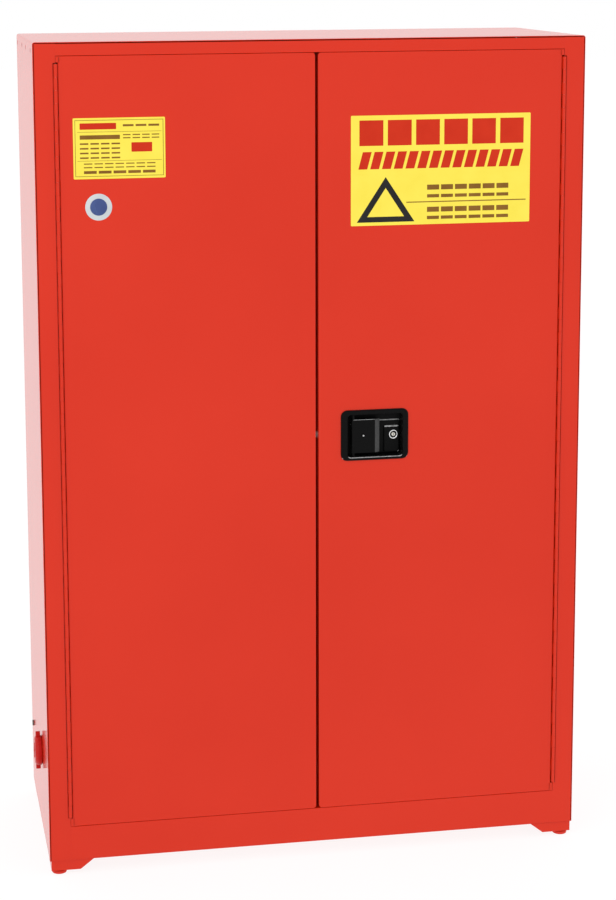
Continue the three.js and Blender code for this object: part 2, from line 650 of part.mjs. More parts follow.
// A shelf is a shallow tray, so that it holds a spill, with stiffening flanges below its long
// edges.
function shelf(level) {
  const half = standardBack - STANDARD.depth - 4;
  const width = [-half, half];
  const depth = centred(0, SHELF_DEPTH);
  const tray = cut(
    block(width, depth, [level, level + SHELF_LIP]),
    block(inset(width, SHEET), inset(depth, SHEET), [level + SHEET, level + 2 * SHELF_LIP]),
  );
  const below = [level - SHELF_FLANGE, level + SHEET];
  return join(
    tray,
    block(width, [depth[0], depth[0] + SHEET], below),
    block(width, [depth[1] - SHEET, depth[1]], below),
  );
}

SHELF_LEVELS.forEach((level, i) => piece(`shelf_${i + 1}`, GALVANISED, shelf(level)));

// ---- Legs and levelling feet ----
const corners = [
  ["front_left", -1, -1],
  ["front_right", 1, -1],
  ["rear_left", -1, 1],
  ["rear_right", 1, 1],
];
const legBottom = BODY_BOTTOM - GAP - LEG.height;

// A corner bracket: two upright plates with sloping inner ends on a foot plate. It is drawn for
// the +X, +Y corner and then mirrored into place.
function leg(sideX, sideY) {
  const edgeX = SIDE - LEG.inset;
  const edgeY = BACK - LEG.inset;
  const top = BODY_BOTTOM - GAP;
  const slope = (edge) => [
    new THREE.Vector2(edge, legBottom),
    new THREE.Vector2(edge, top),
    new THREE.Vector2(edge - LEG.top, top),
    new THREE.Vector2(edge - LEG.bottom, legBottom),
  ];
  const frontPlate = plate(new THREE.Shape(slope(edgeX)), [edgeY - LEG.sheet, edgeY]);
  const across = section(slope(edgeY).map(({ x, y }) => [x, y]), "x", [edgeX - LEG.sheet, edgeX]);
  const footPlate = block(
    [edgeX - LEG.bottom, edgeX], [edgeY - LEG.bottom, edgeY], [legBottom, legBottom + LEG.sheet],
  );
  const hole = rod(
    "z", [edgeX - FOOT.inset, edgeY - FOOT.inset], centred(legBottom, 20), FOOT.stem + 0.6, 16,
  );
  const bracket = cut(join(frontPlate, across, footPlate), hole);
  return bracket.scale([sideX, sideY, 1]);
}

// A levelling foot: a tapered pad, a hexagonal collar and a stem that screws into the leg.
function foot(sideX, sideY) {
  const x = sideX * (SIDE - LEG.inset - FOOT.inset);
  const y = sideY * (BACK - LEG.inset - FOOT.inset);
  const profile = [
    [0, 0],
    [FOOT.radius - 2.5, 0],
    [FOOT.radius, 2.5],
    [FOOT.radius, FOOT.pad - 3],
    [FOOT.radius - 4, FOOT.pad],
    [0, FOOT.pad],
  ].map(([radius, height]) => new THREE.Vector2(radius, height));
  const pad = new THREE.LatheGeometry(profile, 20).rotateX(Math.PI / 2).translate(x, y, 0);
  const collarRing = rod("z", [x, y], [FOOT.pad - 1, legBottom - GAP], 7, 6);
  const stem = rod("z", [x, y], [FOOT.pad - 1, FOOT.top], FOOT.stem, 16);
  return join(solid(pad), collarRing, stem);
}

for (const [word, sideX, sideY] of corners) {
  piece(`leg_${word}`, RED, leg(sideX, sideY));
  piece(`levelling_foot_${word}`, RED, foot(sideX, sideY));
}

// ---- Vents and earthing screw ----
for (const [word, side] of [["left", -1], ["right", 1]]) {
  const { y, z } = VENT_PLACES[word];
  const along = (from, to, radius) => rod("x", [y, z], mirrored(side, [from, to]), radius);
  const collarEnd = SIDE + 4;
  const tube = join(
    along(LINER_X - SHEET - 8, collarEnd, VENT.tube),
    along(SIDE + GAP, collarEnd, VENT.collar),
  );
  piece(`${word}_vent_tube`, RED, cut(tube, along(0, SIDE + 20, VENT.bore)));
  const screenX = LINER_X + 10;
  piece(`${word}_flame_screen`, ZINC, along(screenX, screenX + 1.5, VENT.bore - 0.5));

  const capX = [SIDE + GAP + 0.5, SIDE + VENT.proud];
  const disc = along(capX[0], capX[1] - 5, VENT.cap);
  const boss = along(capX[1] - 6, capX[1] - 2, VENT.cap - 9);
  const bar = block(
    mirrored(side, [capX[1] - 6, capX[1]]), centred(y, 9), centred(z, 2 * VENT.lug),
  );
  const socket = along(0, collarEnd + GAP, VENT.collar + GAP);
  piece(`${word}_vent_cap`, RED, cut(join(disc, boss, bar), socket));
}

function groundScrew() {
  const place = [GROUND_SCREW.y, GROUND_SCREW.z];
  const shank = rod("x", place, [-SIDE - 1, -SIDE + 18], GROUND_SCREW.shank, 16);
  const headEnds = [-SIDE - GROUND_SCREW.proud - GAP, -SIDE - GAP];
  return join(shank, rod("x", place, headEnds, GROUND_SCREW.head, 6));
}

piece("ground_screw", ZINC, groundScrew());

export default group;
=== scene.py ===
import json
import math

import bmesh
import bpy
from mathutils import Matrix, Vector


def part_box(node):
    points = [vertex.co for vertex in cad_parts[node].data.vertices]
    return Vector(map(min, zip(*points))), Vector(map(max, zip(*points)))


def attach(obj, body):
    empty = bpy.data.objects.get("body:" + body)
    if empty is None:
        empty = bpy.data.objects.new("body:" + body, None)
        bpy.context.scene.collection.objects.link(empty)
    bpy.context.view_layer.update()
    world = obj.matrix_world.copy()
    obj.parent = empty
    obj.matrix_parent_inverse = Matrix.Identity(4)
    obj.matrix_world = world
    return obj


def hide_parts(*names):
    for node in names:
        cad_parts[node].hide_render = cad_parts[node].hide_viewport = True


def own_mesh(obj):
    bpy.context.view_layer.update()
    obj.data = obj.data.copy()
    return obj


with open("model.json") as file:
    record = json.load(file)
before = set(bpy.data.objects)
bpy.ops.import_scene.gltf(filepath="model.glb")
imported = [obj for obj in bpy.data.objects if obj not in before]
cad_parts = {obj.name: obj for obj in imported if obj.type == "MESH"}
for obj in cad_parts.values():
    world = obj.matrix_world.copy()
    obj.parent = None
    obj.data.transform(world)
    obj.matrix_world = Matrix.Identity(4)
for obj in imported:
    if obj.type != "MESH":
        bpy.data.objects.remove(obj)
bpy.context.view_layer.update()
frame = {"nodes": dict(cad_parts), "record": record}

MM = 0.001  # meshes are made in millimetres and scaled when they are finished

# ---------------------------------------------------------------- places from the frame

def box(node):
    """The low and high corner of a node."""
    low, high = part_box(node)
    return low / MM, high / MM


def spans(node):
    """The (low, high) of a node along x, y and z."""
    return list(zip(*box(node)))


SIDE, BACK, CASE_TOP = box("top_panel")[1]
FRONT = box("left_door_skin")[0].y
CASE_BOTTOM = box("bottom_panel")[0].z
DOOR_BACK = box("left_door_skin")[1].y
SHEET = 1.2
FRAME_FOOT = CASE_BOTTOM + SHEET + 0.3  # the walls and the frame start above the bottom sheet
WRAP_RIM = 1.5  # width of the rolled edge of the side walls and the top
WRAP_ROLL = 1.4  # outer radius of that edge
WRAP_FLANGE = 4.2  # how far its rear edge reaches in over the back sheet
FACE_INSET = 3.4  # the front frame starts this far in, past a dark seam
FACE_TOP = CASE_TOP - FACE_INSET
STOP = spans("header_rail")[1][1] - SHEET  # front of the stop lip
STOP_END = box("right_stile")[0].x  # where the stiles' stop lips end
HEADER_BOTTOM = box("right_door_skin")[1].z + 0.5
SILL_TOP = box("right_door_skin")[0].z - 0.5
HINGE_LINE = (sum(spans("right_hinge_pin")[0]) / 2, sum(spans("right_hinge_pin")[1]) / 2)
STILE_FOLD = HINGE_LINE[0] + 5.5  # the stile's fold beside the hinge
DOOR_FOLD = HINGE_LINE[0] - 4.85  # the door's fold beside the hinge
DOOR_ROLL = 1.6  # outer radius of the doors' folded edges
DOOR_CORNER = 6
ROD_X = {"top_rod": 121.574, "bottom_rod": 78.426}  # the rods' shafts
ROD_HOLE = 5.5
BOLT_Z = 878.5  # middle of the latch bolt's notch
HANDLE_HOLE = ((55.0, 185.0), (831.0, 928.0), 9.0)  # x, z and corner; the flange covers its edge
RECESS_X, RECESS_Z, RECESS_FLOOR = (64.5, 177.5), (834.5, 921.5), -206.6
LOCK = (162.2, 875)
QUARTER = [math.radians(18 * step) for step in range(6)]  # a quarter turn, for rounded edges


# ---------------------------------------------------------------- materials

def new_material(name):
    """An empty material, its nodes, links and shader, and the place on the object."""
    material = bpy.data.materials.new(name)
    material.use_nodes = True
    nodes, links = material.node_tree.nodes, material.node_tree.links
    shader = nodes["Principled BSDF"]
    place = nodes.new("ShaderNodeTexCoord").outputs["Object"]
    return material, nodes, links, shader, place


def noise(nodes, links, place, scale, detail=3.0):
    """Soft noise; scale is in cycles per metre, roughly."""
    texture = nodes.new("ShaderNodeTexNoise")
    texture.inputs["Scale"].default_value = scale
    texture.inputs["Detail"].default_value = detail
    links.new(place, texture.inputs["Vector"])
    return texture.outputs["Fac"]


def ramp(nodes, links, fac, low, high, start=0.3, end=0.7):
    """A value or colour that runs from low to high with fac."""
    node = nodes.new("ShaderNodeValToRGB")
    stops = node.color_ramp.elements
    stops[0].position, stops[1].position = start, end
    for stop, value in zip(stops, (low, high)):
        stop.color = (*value, 1) if isinstance(value, tuple) else (value, value, value, 1)
    links.new(fac, node.inputs["Fac"])
    return node.outputs["Color"]


def bump(nodes, links, shader, height, strength, distance, socket="Normal"):
    """Raises the surface by height, through the shader's normal socket."""
    node = nodes.new("ShaderNodeBump")
    node.inputs["Strength"].default_value = strength
    node.inputs["Distance"].default_value = distance
    links.new(height, node.inputs["Height"])
    links.new(node.outputs["Normal"], shader.inputs[socket])


def paint(name, deep, bright, roughness=0.3):
    """Baked enamel: a slightly uneven film with a fine orange peel under a glossy surface."""
    peel = 0.05
    material, nodes, links, shader, place = new_material(name)
    drift = noise(nodes, links, place, 2.2, 4.0)
    links.new(ramp(nodes, links, drift, deep, bright), shader.inputs["Base Color"])
    smear = noise(nodes, links, place, 9.0, 4.0)
    spread = ramp(nodes, links, smear, roughness - 0.03, roughness + 0.04)
    links.new(spread, shader.inputs["Roughness"])
    shader.inputs["Specular IOR Level"].default_value = 0.0
    shader.inputs["Coat Weight"].default_value = 1.0
    shader.inputs["Coat IOR"].default_value = 1.35
    shader.inputs["Coat Roughness"].default_value = 0.17
    orange = noise(nodes, links, place, 260.0, 2.0)
    bump(nodes, links, shader, orange, peel, 0.4 * MM)
    bump(nodes, links, shader, orange, peel, 0.4 * MM, "Coat Normal")
    return material


def metal(name, dark, light, roughness, scale=60.0, grain=0.08):
    """Bare or plated metal with a mottled surface."""
    material, nodes, links, shader, place = new_material(name)
    mottle = noise(nodes, links, place, scale, 5.0)
    links.new(ramp(nodes, links, mottle, dark, light), shader.inputs["Base Color"])
    spread = ramp(nodes, links, mottle, roughness * 0.8, roughness * 1.25)
    links.new(spread, shader.inputs["Roughness"])
    shader.inputs["Metallic"].default_value = 1.0
    bump(nodes, links, shader, mottle, grain, 0.2 * MM)
    return material


def spangle(name):
    """Hot-dip galvanised sheet: crystals of zinc, each with its own grey."""
    material, nodes, links, shader, place = new_material(name)
    cells = nodes.new("ShaderNodeTexVoronoi")
    cells.inputs["Scale"].default_value = 75.0
    links.new(place, cells.inputs["Vector"])
    grey = nodes.new("ShaderNodeRGBToBW")
    links.new(cells.outputs["Color"], grey.inputs["Color"])
    tone = ramp(nodes, links, grey.outputs["Val"], (0.42, 0.44, 0.46), (0.66, 0.68, 0.7), 0.1, 0.9)
    links.new(tone, shader.inputs["Base Color"])
    spread = ramp(nodes, links, grey.outputs["Val"], 0.28, 0.5, 0.1, 0.9)
    links.new(spread, shader.inputs["Roughness"])
    shader.inputs["Metallic"].default_value = 1.0
    bump(nodes, links, shader, noise(nodes, links, place, 400.0), 0.05, 0.2 * MM)
    return material


def moulded(name, deep, bright, roughness, grain_scale=900.0, grain=0.12, gloss=0.5):
    """Moulded plastic or powder coat with a fine leather-like grain."""
    material, nodes, links, shader, place = new_material(name)
    fine = noise(nodes, links, place, grain_scale, 2.0)
    links.new(ramp(nodes, links, fine, deep, bright), shader.inputs["Base Color"])
    wide = noise(nodes, links, place, 40.0, 3.0)
    links.new(ramp(nodes, links, wide, roughness - 0.05, roughness + 0.07),
              shader.inputs["Roughness"])
    shader.inputs["Specular IOR Level"].default_value = gloss
    bump(nodes, links, shader, fine, grain, 0.15 * MM)
    return material


def vinyl(name, deep, bright, roughness=0.35):
    """Printed self-adhesive film with a faint waviness from the steel under it."""
    material, nodes, links, shader, place = new_material(name)
    tint = noise(nodes, links, place, 25.0, 3.0)
    links.new(ramp(nodes, links, tint, deep, bright), shader.inputs["Base Color"])
    links.new(ramp(nodes, links, tint, roughness - 0.04, roughness + 0.06),
              shader.inputs["Roughness"])
    shader.inputs["Specular IOR Level"].default_value = 0.15
    bump(nodes, links, shader, noise(nodes, links, place, 120.0), 0.04, 0.2 * MM)
    return material


ENAMEL = (0.635, 0.021, 0.003), (0.67, 0.025, 0.005)
MATERIALS = {
    "case_paint": paint("case_enamel", *ENAMEL),
    "door_paint": paint("door_enamel", *ENAMEL),
    "liner_paint": paint("liner_enamel", (0.61, 0.02, 0.003), (0.65, 0.024, 0.005), 0.36),
    "galvanised_steel": spangle("galvanised_sheet"),
    "zinc_plated_steel": metal("zinc_plate", (0.55, 0.55, 0.53), (0.72, 0.72, 0.7), 0.3),
    "black_plastic": moulded("black_handle", (0.003, 0.003, 0.003), (0.006, 0.006, 0.006), 0.28,
                             gloss=0.05),
    "chrome": metal("bright_chrome", (0.74, 0.74, 0.75), (0.84, 0.84, 0.85), 0.1, 200.0, 0.02),
    "brass": metal("nickel_plug", (0.6, 0.58, 0.52), (0.72, 0.7, 0.64), 0.22, 150.0),
}
YELLOW = vinyl("label_yellow", (0.88, 0.72, 0.075), (0.92, 0.76, 0.09))
INK_RED = vinyl("label_red_ink", (0.55, 0.022, 0.004), (0.6, 0.028, 0.006))
INK_BLACK = vinyl("label_black_ink", (0.012, 0.012, 0.012), (0.02, 0.02, 0.02))
STICKER_SILVER = vinyl("sticker_silver", (0.5, 0.54, 0.56), (0.62, 0.65, 0.66), 0.25)
STICKER_BLUE = vinyl("sticker_blue", (0.045, 0.07, 0.2), (0.065, 0.1, 0.26), 0.25)
INK_BROWN = vinyl("label_brown_ink", (0.2, 0.09, 0.012), (0.26, 0.12, 0.02))
# painted highlight: a grained grey, lighter than the black plastic, for the light that the paddle's
# right bevel catches
BEVEL_SHEEN = moulded("grained_bevel_sheen", (0.028, 0.028, 0.028), (0.055, 0.055, 0.055), 0.45, 500.0, 0.4, 0.3)
# painted highlight: light grey for the handle's edges and dimple, where light is caught
EDGE_HIGHLIGHT = moulded("painted_edge_highlight", (0.25, 0.25, 0.25), (0.55, 0.55, 0.55), 0.3, 200.0, 0.05)
# dark steel of the ground screw; also painted shade in the middle of the weld dimples
DULL_STEEL_AND_PIT_SHADE = metal("dull_fastener_and_pit_shade", (0.12, 0.11, 0.1), (0.22, 0.2, 0.19), 0.45, 150.0)
CAP_RED = moulded("vent_cap_plastic", (0.5, 0.012, 0.01), (0.56, 0.016, 0.012), 0.28, 300.0,
                  0.04, 0.15)


# ---------------------------------------------------------------- meshes

def outward(bm):
    """Turns every face of the closed shapes outward."""
    bmesh.ops.recalc_face_normals(bm, faces=bm.faces)


def bevel(bm, edges, width, segments, clamp=False):
    """Rounds these edges."""
    bmesh.ops.bevel(bm, geom=edges, offset=width, segments=segments, profile=0.5,
                    affect="EDGES", clamp_overlap=clamp)


def middle_of(face):
    """The middle of a face, in millimetres while the shape is being made."""
    return face.calc_center_median()


def finish_mesh(name, bm, material, body, nodes=(), slot=None, sharp=35.0, other=None,
                where=None):
    """Makes the object, shades it, parents it to its body and hides the CAD nodes it replaces.
    Faces that where picks get the other material."""
    if other:
        bm.normal_update()
        for face in bm.faces:
            face.material_index = 1 if where(face) else 0
    bmesh.ops.scale(bm, vec=(MM, MM, MM), verts=bm.verts)
    outward(bm)
    for face in bm.faces:
        face.smooth = True
    for edge in bm.edges:
        edge.smooth = edge.calc_face_angle(0.0) < math.radians(sharp)
    mesh = bpy.data.meshes.new(name)
    bm.to_mesh(mesh)
    bm.free()
    piece = bpy.data.objects.new(name, mesh)
    bpy.context.collection.objects.link(piece)
    piece.data.materials.append(material)
    if other:
        piece.data.materials.append(other)
    weighted = piece.modifiers.new("weighted_normals", "WEIGHTED_NORMAL")
    weighted.keep_sharp = True
    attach(piece, body)
    if nodes:
        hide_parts(*nodes)
    return piece


def loop_of(x, z, corner, y, steps=6):
    """A rounded rectangle facing the front: x and z are (low, high), corner is one radius or
    four, from the lower left round to the upper left."""
    radii = corner if isinstance(corner, tuple) else (corner,) * 4
    radii = [max(radius, 0.02) for radius in radii]
    centres = [
        (x[0] + radii[0], z[0] + radii[0], 180),
        (x[1] - radii[1], z[0] + radii[1], 270),
        (x[1] - radii[2], z[1] - radii[2], 0),
        (x[0] + radii[3], z[1] - radii[3], 90),
    ]
    points = []
    for (cx, cz, start), radius in zip(centres, radii):
        for step in range(steps + 1):
            angle = math.radians(start + 90 * step / steps)
            points.append(Vector((cx + radius * math.cos(angle), y, cz + radius * math.sin(angle))))
    return points


def grown(x, z, corner, by, y, steps=6):
    """The same outline, larger by by on every side."""
    radii = corner if isinstance(corner, tuple) else (corner,) * 4
    return loop_of((x[0] - by, x[1] + by), (z[0] - by, z[1] + by),
                   tuple(max(radius + by, 0.02) for radius in radii), y, steps)


def loft(bm, loops, closed=False):
    """Skins a row of loops; the row is closed on itself or else capped at both ends."""
    rings = [[bm.verts.new(point) for point in points] for points in loops]
    count = len(rings[0])
    for near, far in zip(rings, rings[1:] + rings[:1] if closed else rings[1:]):
        for i in range(count):
            j = (i + 1) % count
            bm.faces.new((near[i], near[j], far[j], far[i]))
    if not closed:
        bm.faces.new(rings[0])
        bm.faces.new(rings[-1])


def lathe(bm, profile, centre, axis, segments=48, closed=False):
    """Turns (distance along the axis, radius) points round an axis; the profile is capped at
    both ends, or closed on itself."""
    centre = Vector(centre)
    along = Vector({"x": (1, 0, 0), "y": (0, 1, 0), "z": (0, 0, 1)}[axis])
    across = Vector({"x": (0, 1, 0), "y": (0, 0, 1), "z": (1, 0, 0)}[axis])
    side = along.cross(across)
    loops = []
    for distance, radius in profile:
        ring = []
        for i in range(segments):
            angle = 2 * math.pi * i / segments
            offset = across * math.cos(angle) + side * math.sin(angle)
            ring.append(centre + along * distance + offset * radius)
        loops.append(ring)
    loft(bm, loops, closed)


def prism(bm, points, low, high, axis="z"):
    """An outline pushed along an axis. Its points are the other two coordinates, in order."""
    def place(a, b, along):
        return {"x": (along, a, b), "y": (a, along, b), "z": (a, b, along)}[axis]
    loft(bm, [[Vector(place(a, b, end)) for a, b in points] for end in (low, high)])


def block(bm, x, y, z):
    """A box; x, y and z are each (low, high)."""
    prism(bm, [(x[0], y[0]), (x[1], y[0]), (x[1], y[1]), (x[0], y[1])], z[0], z[1])


def soften(bm, width, segments=2):
    """Rounds every edge that turns by more than 30 degrees."""
    bm.normal_update()
    edges = [edge for edge in bm.edges if edge.calc_face_angle(0.0) > math.radians(30)]
    bevel(bm, edges, width, segments, clamp=True)


def bent(path, radii, thickness, steps=6):
    """The closed outline of a strip of sheet bent along path, its thickness on the left. Each
    inner corner of the path is an arc of the radius given for it."""
    outer, inner = [], []
    last = len(path) - 1
    for i, (x, y) in enumerate(path):
        here = Vector((x, y))
        if i in (0, last):
            step = (Vector(path[1]) - here) if i == 0 else (here - Vector(path[-2]))
            normal = Vector((-step.y, step.x)).normalized()
            outer.append(here)
            inner.append(here + normal * thickness)
            continue
        before = (here - Vector(path[i - 1])).normalized()
        after = (Vector(path[i + 1]) - here).normalized()
        turn = math.atan2(before.cross(after), before.dot(after))
        left = 1 if turn > 0 else -1
        radius = radii[i - 1]
        reach = radius * math.tan(abs(turn) / 2)
        centre = here - before * reach + Vector((-before.y, before.x)) * radius * left
        start = (here - before * reach) - centre
        for step in range(steps + 1):
            arm = Matrix.Rotation(turn * step / steps, 2) @ start
            outer.append(centre + arm)
            inner.append(centre + arm * ((radius - thickness * left) / radius))
    return [tuple(point) for point in outer + inner[::-1]]


def refined(node, body, material=None, width=0.4, segments=2, name=None, **more):
    """A copy of a CAD node with its flat faces joined up and its edges rounded."""
    bm = bmesh.new()
    bm.from_mesh(frame["nodes"][node].data)
    bmesh.ops.scale(bm, vec=(1 / MM, 1 / MM, 1 / MM), verts=bm.verts)
    bmesh.ops.remove_doubles(bm, verts=bm.verts, dist=0.002)
    bmesh.ops.dissolve_limit(bm, angle_limit=math.radians(1.0), verts=bm.verts, edges=bm.edges)
    soften(bm, width, segments)
    slot = next(s["material_slot"] for s in frame["record"]["subparts"] if s["node"] == node)
    return finish_mesh(name or f"{node}_surface", bm, material or MATERIALS[slot], body,
                       (node,), slot, **more)


def as_object(bm):
    """A passing object for a modifier to work on."""
    mesh = bpy.data.meshes.new("scratch")
    bm.to_mesh(mesh)
    bm.free()
    scratch = bpy.data.objects.new("scratch", mesh)
    bpy.context.collection.objects.link(scratch)
    return scratch


def subtract(bm, *cutters):
    """Cuts closed shapes out of a closed shape."""
    target = as_object(bm)
    tools = [as_object(cutter) for cutter in cutters]
    for tool in tools:
        modifier = target.modifiers.new("cut", "BOOLEAN")
        modifier.operation, modifier.solver, modifier.object = "DIFFERENCE", "EXACT", tool
    bpy.context.view_layer.update()
    done = bmesh.new()
    done.from_object(target, bpy.context.evaluated_depsgraph_get())
    for scratch in (target, *tools):
        mesh = scratch.data
        bpy.data.objects.remove(scratch)
        bpy.data.meshes.remove(mesh)
    return done


def absorb(bm, part):
    """Adds a separate closed shape to bm as it is."""
    mesh = bpy.data.meshes.new("scratch")
    part.to_mesh(mesh)
    part.free()
    bm.from_mesh(mesh)
    bpy.data.meshes.remove(mesh)


def bar_of(axis, centre, ends, radius, segments=32):
    """A round bar, for cutting holes."""
    bm = bmesh.new()
    place = {"x": (0, *centre), "y": (centre[0], 0, centre[1]), "z": (*centre, 0)}[axis]
    lathe(bm, [(ends[0], radius), (ends[1], radius)], place, axis, segments)
    outward(bm)
    return bm


def box_of(x, y, z):
    """A box, for cutting notches."""
    bm = bmesh.new()
    block(bm, x, y, z)
    outward(bm)
    return bm


def rod_cutter(node, height):
    """A bar through the sheet at this height, where the rod passes."""
    low, high = box(node)
    return bar_of("z", (ROD_X[node], (low.y + high.y) / 2), height, ROD_HOLE)


def vent_cutter(word):
    """A bar through the side wall, where the vent's tube passes."""
    low, high = box(f"{word}_vent_tube")
    middle = (low + high) / 2
    return bar_of("x", (middle.y, middle.z), (low.x - 30, high.x + 30), 25.3)


def wrap():
    """Both side walls and the top, folded from one sheet. Its rear edge is folded in round the
    back sheet, and its rolled front edge stands round the front frame."""
    corner = 5.0
    stations = [((-SIDE, FRAME_FOOT), (-1, 0))]
    for cx, start in ((-SIDE + corner, 180), (SIDE - corner, 90)):
        for step in range(7):
            angle = math.radians(start - 15 * step)
            out = (math.cos(angle), math.sin(angle))
            centre = (cx, CASE_TOP - corner)
            stations.append(((centre[0] + corner * out[0], centre[1] + corner * out[1]), out))
    stations.append(((SIDE, FRAME_FOOT), (1, 0)))
    # the sheet in section, as (in from the surface, y)
    roll = [(WRAP_ROLL * (1 - math.sin(a)), WRAP_ROLL * (1 - math.cos(a))) for a in QUARTER]
    section = [(inward, FRONT + back) for inward, back in reversed(roll)]
    section += [(WRAP_RIM, FRONT), (WRAP_RIM, FRONT + 4), (SHEET, FRONT + 4), (SHEET, BACK - SHEET),
                (WRAP_FLANGE, BACK - SHEET), (WRAP_FLANGE, BACK)]
    section += [(inward, BACK - forward) for inward, forward in roll]
    bm = bmesh.new()
    loft(bm, [[Vector((x - n * out[0], y, z - n * out[1])) for n, y in section]
              for (x, z), out in stations])
    outward(bm)
    screw = (box("ground_screw")[0] + box("ground_screw")[1]) / 2
    bm = subtract(bm, vent_cutter("left"), vent_cutter("right"),
                  bar_of("x", (screw.y, screw.z), (-SIDE - 5, -SIDE + 5), 3.5, 16))
    finish_mesh("case_wrap", bm, MATERIALS["case_paint"], "root",
                ("left_side_panel", "right_side_panel", "top_panel"), "case_paint")


def front_post(side):
    """The post beside a door, notched for the hinge, with its fold and its stop lip."""
    word = "left" if side < 0 else "right"
    hinge = spans(f"{word}_hinge_pin")[2]
    height = (FRAME_FOOT, FACE_TOP)
    edge, seam, far = STILE_FOLD, box("header_rail")[1].x + 0.35, SIDE - FACE_INSET
    outline = [
        (far, height[0]), (seam, height[0]), (seam, hinge[0] - 2), (edge, hinge[0] - 2),
        (edge, hinge[1] + 2), (seam, hinge[1] + 2), (seam, height[1]), (far, height[1]),
    ]
    bm = bmesh.new()
    prism(bm, [(side * x, z) for x, z in outline], FRONT, FRONT + SHEET, "y")
    bm.normal_update()
    edges = [
        e for e in bm.edges
        if e.calc_face_angle(0.0) > 0.5 and all(v.co.y < FRONT + 0.1 for v in e.verts)
    ]
    bevel(bm, edges, 0.5, 3)
    # the fold beside the hinge and the stop lip behind the door
    back = [(edge, FRONT + 1.0), (edge, STOP + SHEET), (STOP_END, STOP + SHEET)]
    prism(bm, [(side * x, y) for x, y in bent(back, (2.0,), -SHEET)], *height)
    finish_mesh(f"{word}_front_post", bm, MATERIALS["case_paint"], "root", (f"{word}_stile",),
                "case_paint")


def frame_rail(name, rod, far, near):
    """Header or sill: a face folded back beside the doors, with a stop lip behind them and a
    hole for the rod."""
    up = 1 if near > far else -1
    lip = near + up * 12
    half = box(name)[1].x
    bm = bmesh.new()
    path = [(FRONT, far), (FRONT, near), (STOP, near)]
    outline = bent(path, (1.3,), -SHEET if up > 0 else SHEET)
    prism(bm, outline, -half, half, "x")
    bm.normal_update()
    ends = [
        e for e in bm.edges
        if e.calc_face_angle(0.0) > 1.0 and abs(e.verts[0].co.x - e.verts[1].co.x) < 0.01
        and all(v.co.y < FRONT + 0.1 for v in e.verts)
    ]
    bevel(bm, ends, 0.3, 2)
    z = sorted((near - up * SHEET, lip))
    block(bm, (-STOP_END + 0.3, STOP_END - 0.3), (STOP, STOP + SHEET), z)
    outward(bm)
    bm = subtract(bm, rod_cutter(rod, (near - 8, near + 8)))
    finish_mesh(f"{name}_folded", bm, MATERIALS["case_paint"], "root", (name,), "case_paint")


def back_sheet():
    """The back sheet between the folded rear corners."""
    inset = WRAP_FLANGE + 0.6
    bm = bmesh.new()
    block(bm, (inset - SIDE, SIDE - inset), (BACK - SHEET, BACK), (FRAME_FOOT, CASE_TOP - inset))
    soften(bm, 0.4)
    finish_mesh("back_sheet", bm, MATERIALS["case_paint"], "root", ("back_panel",), "case_paint")


def weld_dots():
    """Spot welds that show as small dimples under the lid on both side walls. The middle of each is
    dark steel, painted shade as if it were a small pit.
    """
    bm = bmesh.new()
    for side in (-1, 1):
        for y in (-176, -45, 63, 201):
            dimple = ((-0.3, 5.4), (0.12, 5.2), (0.2, 4.6), (0.05, 4.0), (0.02, 0.4))
            lathe(bm, [(side * (SIDE + out), radius) for out, radius in dimple],
                  (0, y, CASE_TOP - 17), "x", 20)
    # painted shade: the flat middle of each dimple is dark steel
    finish_mesh("side_weld_dots", bm, MATERIALS["case_paint"], "root", (), "case_paint",
                other=DULL_STEEL_AND_PIT_SHADE, where=lambda f: abs(abs(middle_of(f).x) - SIDE - 0.035) < 0.05)


# ---------------------------------------------------------------- doors

def tray(x, z, corner, hole=None):
    """A door's outer wall: rolled front edges, and a hole through the face if one is given."""
    deep, near = DOOR_BACK, FRONT
    inner = [
        grown(x, z, corner, -SHEET, deep),
        grown(x, z, corner, -SHEET, near + SHEET + 1.2),
        grown(x, z, corner, -SHEET - 0.5, near + SHEET + 0.3),
        grown(x, z, corner, -SHEET - 1.3, near + SHEET),
    ]
    outer = [grown(x, z, corner, 0, deep)]
    for angle in QUARTER:
        inset, back = (DOOR_ROLL * (1 - turn) for turn in (math.cos(angle), math.sin(angle)))
        outer.append(grown(x, z, corner, -inset, near + back))
    bm = bmesh.new()
    if hole:
        hx, hz, radius = hole
        through = [loop_of(hx, hz, radius, near), loop_of(hx, hz, radius, near + SHEET)]
        loft(bm, outer + through + inner[::-1], closed=True)
    else:
        loft(bm, inner[::-1] + outer)
    return bm


